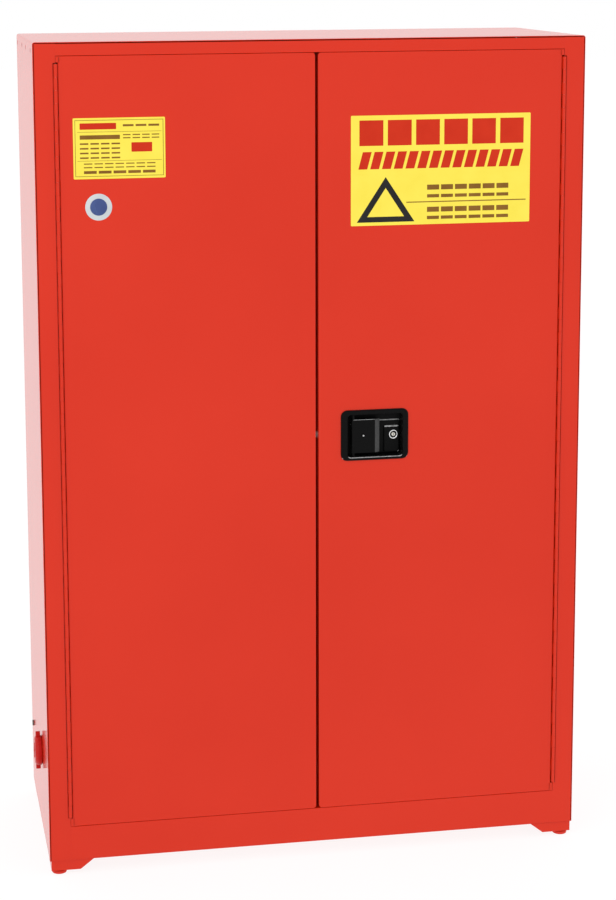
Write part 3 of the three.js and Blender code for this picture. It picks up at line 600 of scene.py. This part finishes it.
def doors():
    """Door walls. Past the ends of the hinge, the face reaches out to the hinge line."""
    hinge, bolt = spans("right_hinge_pin")[2], spans("latch_bolt")[1]
    for word, side in (("left", -1), ("right", 1)):
        skin = spans(f"{word}_door_skin")
        reach = max(abs(x) for x in skin[0])
        skin[0] = (-DOOR_FOLD, skin[0][1]) if side < 0 else (skin[0][0], DOOR_FOLD)
        free, hinged = DOOR_CORNER, 0.6
        radii = (free, hinged, hinged, free) if side > 0 else (hinged, free, free, hinged)
        bm = tray(skin[0], skin[2], radii, HANDLE_HOLE if side > 0 else None)
        outward(bm)
        free_edge = skin[0][1] if side < 0 else skin[0][0]
        cutters = [box_of((free_edge - 4, free_edge + 4), (bolt[0] - 1, bolt[1] + 1),
                          (BOLT_Z - 7, BOLT_Z + 7))]
        if side > 0:
            for node, end in (("top_rod", skin[2][1]), ("bottom_rod", skin[2][0])):
                cutters.append(rod_cutter(node, (end - 4, end + 4)))
        bm = subtract(bm, *cutters)
        for height in ((skin[2][0], hinge[0] - 2.5), (hinge[1] + 2.5, skin[2][1])):
            tab = bmesh.new()
            x = sorted((side * (DOOR_FOLD - 2.6), side * reach))
            block(tab, x, (FRONT, FRONT + SHEET), height)
            tab.normal_update()
            rounded = [
                e for e in tab.edges
                if all(v.co.y < FRONT + 0.1 for v in e.verts)
                and not all(abs(v.co.x) < DOOR_FOLD - 2.5 for v in e.verts)
            ]
            bevel(tab, rounded, 0.5, 2)
            absorb(bm, tab)
        finish_mesh(f"{word}_door_wall", bm, MATERIALS["door_paint"], f"{word}_door",
                    (f"{word}_door_skin",), "door_paint")


# ---------------------------------------------------------------- hinges

KNUCKLE_PITCH = 25.1
KNUCKLE_RADIUS, KNUCKLE_BORE = 3.6, 1.8
LEAF_OFFSET, LEAF_THICKNESS = 3.85, 0.9  # of a leaf's strip, to the side of the hinge line


def hinges():
    """Continuous hinges: on each leaf every second knuckle, and the flat strip behind them."""
    x0, y0 = HINGE_LINE
    for word, side in (("left", -1), ("right", 1)):
        low, high = spans(f"{word}_hinge_pin")[2]
        count = round((high - low) / KNUCKLE_PITCH)
        pitch = (high - low) / count
        leaves = (("frame", "root", side, 0), ("door", f"{word}_door", -side, 1))
        for leaf, body, leaf_side, first in leaves:
            node = f"{word}_hinge_{leaf}_leaf"
            bm = bmesh.new()
            middle = side * x0 + leaf_side * LEAF_OFFSET
            strip = (middle - LEAF_THICKNESS / 2, middle + LEAF_THICKNESS / 2)
            block(bm, strip, (y0 + 4.1, box(node)[1].y), (low, high))
            for i in range(first, count, 2):
                ends = (low + i * pitch + 0.12, low + (i + 1) * pitch - 0.12)
                profile = [
                    (ends[0], KNUCKLE_BORE), (ends[0], KNUCKLE_RADIUS - 0.4),
                    (ends[0] + 0.4, KNUCKLE_RADIUS), (ends[1] - 0.4, KNUCKLE_RADIUS),
                    (ends[1], KNUCKLE_RADIUS - 0.4), (ends[1], KNUCKLE_BORE),
                ]
                lathe(bm, profile, (side * x0, y0, 0), "z", 24, closed=True)
                web = sorted((side * x0 + leaf_side * 2.3, middle + leaf_side * 0.4))
                block(bm, web, (y0 + 1.3, y0 + 4.6), (ends[0] + 0.3, ends[1] - 0.3))
            finish_mesh(f"{word}_hinge_{leaf}_knuckles", bm, MATERIALS["case_paint"], body,
                        (node,), "case_paint")
        refined(f"{word}_hinge_pin", "root", width=0.3)


# ---------------------------------------------------------------- handle

def plastic(name, bm, where, nodes=()):
    """A black piece of the handle; the faces that where picks get light grey as painted highlights.
    """
    finish_mesh(name, bm, MATERIALS["black_plastic"], "right_door", nodes, "black_plastic",
                other=EDGE_HIGHLIGHT, where=where)


def housing():
    """Moulded cup with a rounded flange, a deep recess and a raised boss for the lock."""
    wide, (front, rear), tall = spans("handle_housing")
    x, z, floor = RECESS_X, RECESS_Z, RECESS_FLOOR
    seat = FRONT - 0.3
    rings = [
        grown(x, z, 8, 2.5, rear),
        grown(x, z, 8, 2.5, seat),
        loop_of(wide, tall, 13, seat),
        loop_of(wide, tall, 13, seat - 0.8),
    ]
    flange, lip, foot = 2.2, 1.6, 2.4  # radii of the flange's rim, the recess's edge and its floor
    for angle in QUARTER[1:]:
        rings.append(grown(wide, tall, 13, -flange * (1 - math.cos(angle)),
                           seat - 0.8 - flange * math.sin(angle)))
    for angle in QUARTER:
        rings.append(grown(x, z, 7, lip * (1 - math.sin(angle)),
                           front + lip * (1 - math.cos(angle))))
    rings.append(grown(x, z, 7, -0.6, floor - 3.0))
    for angle in QUARTER:
        rings.append(grown(x, z, 7, -0.8 - foot * (1 - math.cos(angle)),
                           floor - foot * (1 - math.sin(angle))))
    bm = bmesh.new()
    loft(bm, rings)
    outward(bm)

    def lock_bore():
        return bar_of("y", LOCK, (FRONT, rear + 5), 8.4)

    slot = box_of((73.5, 95.5), (floor - 1, rear + 5), (895.5, 904.5))  # for the paddle's tail
    bm = subtract(bm, lock_bore(), slot)

    def lower_lip(face):
        """The recess's lower edge, painted light grey as a highlight."""
        place = middle_of(face)
        return (832.5 < place.z < 836 and front - 0.1 < place.y < front + 1.5
                and abs(face.normal.z) > 0.35)

    plastic("handle_cup", bm, lower_lip, ("handle_housing",))

    boss = bmesh.new()
    bx, bz, top = (142.5, 175.5), (837, 893), floor - 6
    loft(boss, [grown(bx, bz, 6, 1.2, floor + 0.8), grown(bx, bz, 6, 0.9, floor - 0.4),
                grown(bx, bz, 6, 0.1, top + 2.2), grown(bx, bz, 6, -0.3, top + 1.5),
                grown(bx, bz, 6, -1.9, top + 0.3), grown(bx, bz, 6, -2.6, top)])
    outward(boss)

    def chamfer(face):
        """The chamfer along the top of the boss, and at its lower right corner, painted light grey
        as highlights.
        """
        place = middle_of(face)
        return top < place.y < top + 2.0 and (
            place.z > bz[1] - 2.4 or (place.x > bx[1] - 4.5 and place.z < bz[0] + 4.5))

    plastic("lock_boss", subtract(boss, lock_bore()), chamfer)

    # the low step that the boss stands on; its top edge is painted light grey as a highlight
    step = bmesh.new()
    sx, sz, level = (133, 176.5), (835.5, 905), floor - 2.2
    loft(step, [grown(sx, sz, 3, 0, floor + 0.5), grown(sx, sz, 3, 0, level + 1.6),
                grown(sx, sz, 3, -1.8, level)])
    outward(step)
    plastic("lock_step", subtract(step, lock_bore()),
            lambda f: middle_of(f).z > sz[1] - 1.9 and middle_of(f).y < level + 1.5)


def lock():
    """A bright ring round a recess, its inner faces black as painted shade, with the plug's small
    bright face in the middle.
    """
    x, z = LOCK
    place = Vector((x, 0, z))
    (_, face, _), (_, rear, _) = box("lock_cylinder")
    bm = bmesh.new()
    profile = [
        (rear, 5.5), (rear, 8.0), (face + 2.0, 8.0), (face + 2.0, 9.2), (face + 0.8, 9.2),
        (face + 0.25, 8.9), (face, 8.3), (face, 7.4), (face + 0.4, 6.9), (face + 1.6, 6.6),
        (face + 1.6, 5.5),
    ]
    lathe(bm, profile, place, "y", 64, closed=True)
    # painted shade: the ring's faces round the bore are black
    finish_mesh("lock_ring", bm, MATERIALS["chrome"], "right_door", ("lock_cylinder",), "chrome",
                other=MATERIALS["black_plastic"],
                where=lambda f: (middle_of(f) - place).xz.length < 6.85)
    back = spans("lock_plug")[1][1]
    bm = bmesh.new()
    profile = [
        (back, 5.2), (face + 1.7, 5.2), (face + 1.7, 3.9), (face + 0.6, 3.9), (face + 0.3, 3.5),
    ]
    lathe(bm, profile, place, "y", 48)
    outward(bm)
    keyway = box_of((x - 0.5, x + 0.5), (face - 2, face + 1.6), (z - 2.6, z + 2.6))
    bm = subtract(bm, keyway)
    loft(bm, [loop_of((158.3, 166.1), (869, 894), 3.8, y) for y in (back - 1.7, back)])  # cam
    # painted shade: the plug's recessed rim and the keyway's floor are black
    finish_mesh("lock_plug_turned", bm, MATERIALS["brass"], "lock_plug", ("lock_plug",), "brass",
                other=MATERIALS["black_plastic"],
                where=lambda f: abs(middle_of(f).y - face - 1.7) < 0.1
                or abs(middle_of(f).y - face - 1.6) < 0.05)


# ---------------------------------------------------------------- vents

def vents():
    """On each side a sleeve through the walls, a cap that closes it and a screen inside it."""
    for word, side in (("left", -1), ("right", 1)):
        tube, cap = spans(f"{word}_vent_tube"), spans(f"{word}_vent_cap")
        y, z = sum(cap[1]) / 2, sum(cap[2]) / 2
        bm = bmesh.new()
        outer = max(abs(v) for v in tube[0])
        inner = min(abs(v) for v in tube[0])
        profile = [
            (inner, 21.8), (inner, 25), (SIDE, 25), (SIDE, 27.4), (SIDE + 0.6, 28),
            (outer - 1.0, 28), (outer, 27), (outer, 22.8), (outer - 1.0, 21.8),
        ]
        lathe(bm, [(side * d, r) for d, r in profile], (0, y, z), "x", 64, closed=True)
        finish_mesh(f"{word}_vent_sleeve", bm, MATERIALS["case_paint"], "root",
                    (f"{word}_vent_tube",), "case_paint")
        bm = bmesh.new()
        near, far = sorted(abs(v) for v in cap[0])
        back = outer + 0.5
        dome = [(far - 9 + 8 * math.sin(a), 23.5 + 7.5 * math.cos(a)) for a in QUARTER]
        profile = [(near, 28.6), (near, 29.6), (near + 0.8, 30.4)] + dome + [
            (far - 1.0, 17), (far - 2.2, 15), (far - 2.2, 2), (back, 2), (back, 28.6),
        ]
        lathe(bm, [(side * d, r) for d, r in profile], (0, y, z), "x", 64, closed=True)
        # ribs round the rim for a hand to grip
        for i in range(24):
            turn = Matrix.Rotation(math.radians(15 * i), 3, "X")
            rib = bmesh.new()
            block(rib, sorted((side * (near + 2), side * (far - 7.5))), (-0.8, 0.8), (29, 31))
            for vert in rib.verts:
                vert.co = turn @ vert.co + Vector((0, y, z))
            absorb(bm, rib)
        # the hub in the middle, and the two lugs of the bar that a hand turns it by
        hub = [(side * back, 4.2), (side * (far - 0.8), 4.2), (side * far, 3.2)]
        lathe(bm, hub, (0, y, z), "x", 24)
        levels = []
        for distance, by in ((near + 2.2, -0.6), (near + 2.8, 0), (near + 10.4, 0),
                             (near + 11.4, -0.8)):
            ring = grown((y - 4.8, y + 4.8), cap[2], 4.6, by, 0, 8)
            levels.append([Vector((side * distance, p.x, p.z)) for p in ring])
        loft(bm, levels)
        grip = []
        for distance, by in ((far - 3.0, 0), (far - 0.8, 0), (far, -0.8)):
            ring = grown((y - 3, y + 3), (z - 15.5, z + 15.5), 2.8, by, 0, 8)
            grip.append([Vector((side * distance, p.x, p.z)) for p in ring])
        loft(bm, grip)
        finish_mesh(f"{word}_vent_cap_moulded", bm, CAP_RED,
                    f"{word}_vent_cap", (f"{word}_vent_cap",), "case_paint")
        depth = spans(f"{word}_flame_screen")[0]
        bm = bmesh.new()
        middle = sum(depth) / 2
        ring = [(depth[0], 19.6), (depth[0], 21.3), (depth[1], 21.3), (depth[1], 19.6)]
        lathe(bm, ring, (0, y, z), "x", 48, closed=True)
        wire, spacing, radius = 0.25, 2.1, 20.3  # the wires run into the ring
        for i in range(-9, 10):
            offset = i * spacing
            reach = math.sqrt(radius ** 2 - offset ** 2)
            block(bm, (middle - 0.3, middle), (y - reach, y + reach),
                  (z + offset - wire, z + offset + wire))
            block(bm, (middle, middle + 0.3), (y + offset - wire, y + offset + wire),
                  (z - reach, z + reach))
        finish_mesh(f"{word}_flame_mesh", bm, MATERIALS["zinc_plated_steel"], "root",
                    (f"{word}_flame_screen",), "zinc_plated_steel")


# ---------------------------------------------------------------- inside, legs and feet

def inside():
    """The inner case, the shelves on their standards and hangers, and the door liners."""
    for node in ("left_liner", "right_liner", "back_liner", "top_liner", "sump_pan"):
        refined(node, "root", width=0.4)
    for i in range(1, 6):
        refined(f"shelf_{i}", "root", width=0.8, segments=3)
    for word in ("left", "right"):
        for place in ("front", "rear"):
            refined(f"shelf_standard_{word}_{place}", "root", width=0.3, segments=1)
        refined(f"{word}_door_liner", f"{word}_door", width=0.5)
    refined("astragal", "left_door", width=0.4)
    refined("centre_strike", "left_door", width=0.5)
    refined("bottom_panel", "root", width=0.4)
    bm = bmesh.new()
    for side in (-1, 1):
        wall = side * box("shelf_standard_right_front")[0].x
        for y in (-140, 140):
            for i in range(1, 6):
                z = box(f"shelf_{i}")[0].z
                # a hanger: the tongue under the shelf, the plate against the standard, the hook
                block(bm, sorted((wall + side * 3.0, wall - side * 26)), (y - 6, y + 6),
                      (z - 2.4, z - 0.4))
                block(bm, sorted((wall - side * 0.4, wall - side * 2.0)), (y - 6, y + 6),
                      (z - 16, z - 2.2))
                block(bm, sorted((wall + side * 3.0, wall - side * 0.6)), (y - 1.6, y + 1.6),
                      (z - 13, z - 9))
    finish_mesh("shelf_hangers", bm, MATERIALS["zinc_plated_steel"], "root", (),
                "zinc_plated_steel")


def under():
    """The corner legs, and the levelling feet with their threaded studs."""
    for depth in ("front", "rear"):
        for word in ("left", "right"):
            refined(f"leg_{depth}_{word}", "root", width=1.0, segments=3)
            node = f"levelling_foot_{depth}_{word}"
            low, high = box(node)
            centre = ((low.x + high.x) / 2, (low.y + high.y) / 2, 0)
            bm = bmesh.new()
            profile = [
                (0.0, 13.6), (0.6, 14.6), (1.6, 15), (4.6, 15), (5.8, 14.2), (6.6, 12), (7.0, 6.5),
                (8.0, 6.0), (8.4, 4),
            ]
            z, thread = 8.8, 1.25
            while z < high.z - 1.2:
                profile += [(z, 4.0), (z + 0.6, 3.5)]
                z += thread
            profile += [(high.z - 0.5, 3.9), (high.z, 3.2)]
            lathe(bm, profile, centre, "z", 40)
            finish_mesh(f"{node}_turned", bm, MATERIALS["case_paint"], node, (node,),
                        "case_paint")
    refined("ground_screw", "root", DULL_STEEL_AND_PIT_SHADE, 0.4)


def coil():
    """The top rod's compression spring, with closed end coils."""
    x, y, z = spans("rod_spring")
    wire, turns, steps, travel = 0.65, 6, 24, 12.12
    round_wire = [math.radians(36 * i) for i in range(10)]
    nudge = 1e-4  # a share of the wire, to find which way it runs
    radius = (x[1] - x[0]) / 2 - wire
    centre = Vector((sum(x) / 2, sum(y) / 2, 0))
    height = (z[0] + wire, z[1] - wire)

    def along(t):
        """The wire's middle at t from 0 to 1. The rise eases in and out over the end coils."""
        angle = 2 * math.pi * turns * t
        rise = t - 0.11 * math.sin(2 * math.pi * t)
        return centre + Vector((radius * math.cos(angle), radius * math.sin(angle),
                                height[0] + rise * (height[1] - height[0])))

    rings, count = [], turns * steps
    for step in range(count + 1):
        t = step / count
        ahead, behind = along(min(t + nudge, 1)), along(max(t - nudge, 0))
        forward = (ahead - behind).normalized()
        out = along(t) - centre
        out.z = 0
        out.normalize()
        up = forward.cross(out)
        rings.append([along(t) + wire * (math.cos(a) * out + math.sin(a) * up)
                      for a in round_wire])
    bm = bmesh.new()
    loft(bm, rings)
    outward(bm)
    spring = finish_mesh("rod_spring_wound", bm, MATERIALS["zinc_plated_steel"], "right_door",
                         ("rod_spring",), "zinc_plated_steel", sharp=60.0)
    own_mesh(spring)


def latch():
    """The paddle, its grained right bevel lighter grey as a painted highlight, painted highlights
    on its upper edge and dimple, and the latch behind it.
    """
    face = box("paddle")[0].y
    # the right bevel gets the lighter grained grey: painted highlight for the light it catches
    refined("paddle", "paddle", width=0.6, segments=3, name="paddle_moulded", other=BEVEL_SHEEN,
            where=lambda f: f.normal.x > 0.25 and f.normal.y < -0.3
            and middle_of(f).x > 118 and middle_of(f).y < face + 6)
    # painted highlight: a light grey strip along the upper edge of the leaf
    top = 910.4
    bm = bmesh.new()
    prism(bm, [(face - 0.02, top + 0.06), (face + 0.5, top + 0.12), (face + 0.5, top - 0.5),
               (face - 0.05, top - 0.5)], 77.0, 121.0, "x")
    finish_mesh("paddle_painted_edge_highlight", bm, EDGE_HIGHLIGHT, "paddle", (), "black_plastic")
    # the shallow dimple in the middle of the leaf, light grey as a painted highlight
    bm = bmesh.new()
    lathe(bm, [(face + 0.4, 1.8), (face - 0.1, 1.6), (face - 0.15, 1.2), (face + 0.1, 0.3)],
          (98, 0, 877.5), "y", 24)
    finish_mesh("paddle_dimple", bm, EDGE_HIGHLIGHT, "paddle", (), "black_plastic")
    refined("latch_case", "right_door", width=0.2)
    refined("latch_cam", "latch_cam", width=0.2, name="latch_cam_plate")
    refined("latch_bolt", "latch_bolt", width=0.4, name="latch_bolt_bar")
    refined("top_rod", "top_rod", width=0.3, name="top_rod_turned")
    refined("bottom_rod", "bottom_rod", width=0.3, name="bottom_rod_turned")
    coil()


# ---------------------------------------------------------------- labels

ON_DOOR, ON_FILM = 0.05, 0.32  # how far a film, or the print on it, stands off the door
PRINT = 0.12  # thickness of print


def film(name, outlines, material, body, lift, thickness=0.25):
    """Flat film on a door's face. An outline is a list of (x, z) points."""
    bm = bmesh.new()
    near = FRONT - lift
    for outline in outlines:
        prism(bm, outline, near - thickness, near, "y")
    finish_mesh(name, bm, material, body, (), "door_paint")


def plain(x, z, corner=0.0):
    """A rectangle, its corners rounded if corner is given."""
    return [(p.x, p.z) for p in loop_of(x, z, corner, 0, 5)]


def blocks(x, z, count, gap=4.0, lean=0.0):
    """A row of equal plain blocks, which lean to the right by lean."""
    width = (x[1] - x[0] - lean - gap * (count - 1)) / count
    outlines = []
    for i in range(count):
        start = x[0] + i * (width + gap)
        outlines.append([(start, z[0]), (start + width, z[0]),
                         (start + width + lean, z[1]), (start + lean, z[1])])
    return outlines


def triangle_line(apex, base, line):
    """A triangle drawn as a thick line: three strips that meet at its corners."""
    corners = [Vector((base[0], base[2])), Vector((base[1], base[2])), Vector(apex)]
    centre = sum(corners, Vector((0, 0))) / 3
    inner = [centre + (corner - centre) * (1 - line) for corner in corners]
    return [
        [tuple(v) for v in (corners[i], corners[(i + 1) % 3], inner[(i + 1) % 3], inner[i])]
        for i in range(3)
    ]


def labels():
    """Generic stickers: yellow film with plain blocks and rules, and a plain two-tone disc."""
    film("door_label", [plain((71, 435), (1300.5, 1517.5), 2)], YELLOW, "right_door",
         ON_DOOR)
    red = blocks((88, 421), (1458, 1508), 6, 9)
    red += blocks((86, 421), (1412, 1446), 14, 6, 9)
    film("door_label_red", red, INK_RED, "right_door", ON_FILM, PRINT)
    black = triangle_line((141, 1396), (83, 199.5, 1307), 0.36)
    film("door_label_triangle", black, INK_BLACK, "right_door", ON_FILM, PRINT)
    brown = []
    for low, high in ((1369, 1379), (1353.5, 1360), (1325, 1335), (1310.5, 1317)):
        brown += blocks((225, 391), (low, high), 6)
    brown.append(plain((183, 427), (1344.2, 1346.2)))
    film("door_label_lines", brown, INK_BROWN, "right_door", ON_FILM, PRINT)

    left, top = -472, 1523
    film("left_label", [plain((left, left + 177.5), (top - 117, top), 2)], YELLOW, "left_door",
         ON_DOOR)

    def at(x, z):
        return (left + x[0], left + x[1]), (top - z[1], top - z[0])

    red = [plain(*at((13, 83), (10, 22)), 1), plain(*at((112, 152), (48, 66)), 1)]
    film("left_label_red", red, INK_RED, "left_door", ON_FILM, PRINT)
    brown = []
    for edge in (((3.6, 174), (4, 4.9)), ((3.6, 174), (111.5, 112.4)), ((3.6, 4.5), (4.9, 111.5)),
                 ((173.1, 174), (4.9, 111.5)), ((8, 170), (26.6, 27.2)), ((8, 170), (82, 82.6))):
        brown.append(plain(*at(*edge)))
    for x, z, count in (
        ((96, 166), (13, 17), 3), ((96, 166), (32, 34), 4), ((96, 166), (38, 40), 4),
        ((13, 90), (33, 41), 1), ((13, 90), (48, 51), 4), ((13, 90), (57, 60), 4),
        ((13, 90), (66, 69), 4), ((13, 90), (75, 78), 4), ((20, 158), (87, 89), 7),
        ((20, 158), (94, 96), 7), ((20, 158), (101.5, 107), 5),
    ):
        brown += blocks(*at(x, z), count)
    film("left_label_lines", brown, INK_BROWN, "left_door", ON_FILM, PRINT)

    for name, radius, lift, material in (
        ("round_sticker", 26, ON_DOOR, STICKER_SILVER),
        ("round_sticker_centre", 16.5, ON_FILM, STICKER_BLUE),
    ):
        bm = bmesh.new()
        lathe(bm, [(FRONT - lift, radius), (FRONT - lift - 0.2, radius - 0.1)],
              (-425, 0, 1351.5), "y", 64)
        finish_mesh(name, bm, material, "left_door", (), "door_paint")


# ---------------------------------------------------------------- studio

def studio():
    """A pale floor, white surroundings, two soft lamps and the camera."""
    floor, nodes, links, shader, place = new_material("pale_floor")
    drift = noise(nodes, links, place, 1.5, 3.0)
    links.new(ramp(nodes, links, drift, (0.13, 0.13, 0.13), (0.14, 0.14, 0.14)),
              shader.inputs["Base Color"])
    shader.inputs["Emission Color"].default_value = (1.0, 1.0, 1.0, 1.0)
    shader.inputs["Emission Strength"].default_value = 0.89  # a lit sweep, nearly white
    shader.inputs["Roughness"].default_value = 0.9
    shader.inputs["Specular IOR Level"].default_value = 0.0
    bm = bmesh.new()
    reach = 30  # metres
    for x, y in ((-reach, -reach), (reach, -reach), (reach, reach), (-reach, reach)):
        bm.verts.new((x, y, -0.0005))
    bm.faces.new(bm.verts)
    mesh = bpy.data.meshes.new("floor")
    bm.to_mesh(mesh)
    bm.free()
    ground = bpy.data.objects.new("floor", mesh)
    ground.data.materials.append(floor)
    bpy.context.collection.objects.link(ground)

    world = bpy.data.worlds.new("studio")
    world.use_nodes = True
    background = world.node_tree.nodes["Background"]
    background.inputs["Color"].default_value = (1.0, 1.0, 1.0, 1.0)
    background.inputs["Strength"].default_value = 1.0
    bpy.context.scene.world = world

    for name, place, target, size, power in (
        ("key", (-2.6, -3.4, 3.0), (0, -0.2, 0.9), 2.4, 26.0),
        ("fill", (2.8, -3.2, 2.2), (0, -0.2, 0.9), 2.0, 6.0),
    ):
        light = bpy.data.lights.new(name, "AREA")
        light.shape, light.size, light.energy = "DISK", size, power
        lamp = bpy.data.objects.new(name, light)
        lamp.location = place
        lamp.rotation_euler = (Vector(target) - Vector(place)).to_track_quat("-Z", "Y").to_euler()
        bpy.context.collection.objects.link(lamp)

    view = bpy.data.cameras.new("camera")
    view.lens, view.sensor_width = 85.432, 36.0
    view.shift_x, view.shift_y = 0.0552, -0.1778
    camera = bpy.data.objects.new("camera", view)
    turn = (Matrix.Rotation(-0.17383, 3, "Z") @ Matrix.Rotation(-0.15730, 3, "X")
            @ Matrix.Rotation(0.00580, 3, "Y"))
    right, forward, up = turn.col
    axes = Matrix((right, up, -forward)).transposed().to_4x4()
    camera.matrix_world = Matrix.Translation((-0.82948, -4.30122, 1.83576)) @ axes
    bpy.context.collection.objects.link(camera)
    bpy.context.scene.camera = camera
    bpy.context.scene.view_settings.view_transform = "Standard"


# ---------------------------------------------------------------- build

wrap()
for side in (-1, 1):
    front_post(side)
frame_rail("header_rail", "top_rod", FACE_TOP, HEADER_BOTTOM)
frame_rail("sill_rail", "bottom_rod", FRAME_FOOT, SILL_TOP)
back_sheet()
weld_dots()
doors()
hinges()
housing()
lock()
latch()
vents()
inside()
under()
labels()
studio()
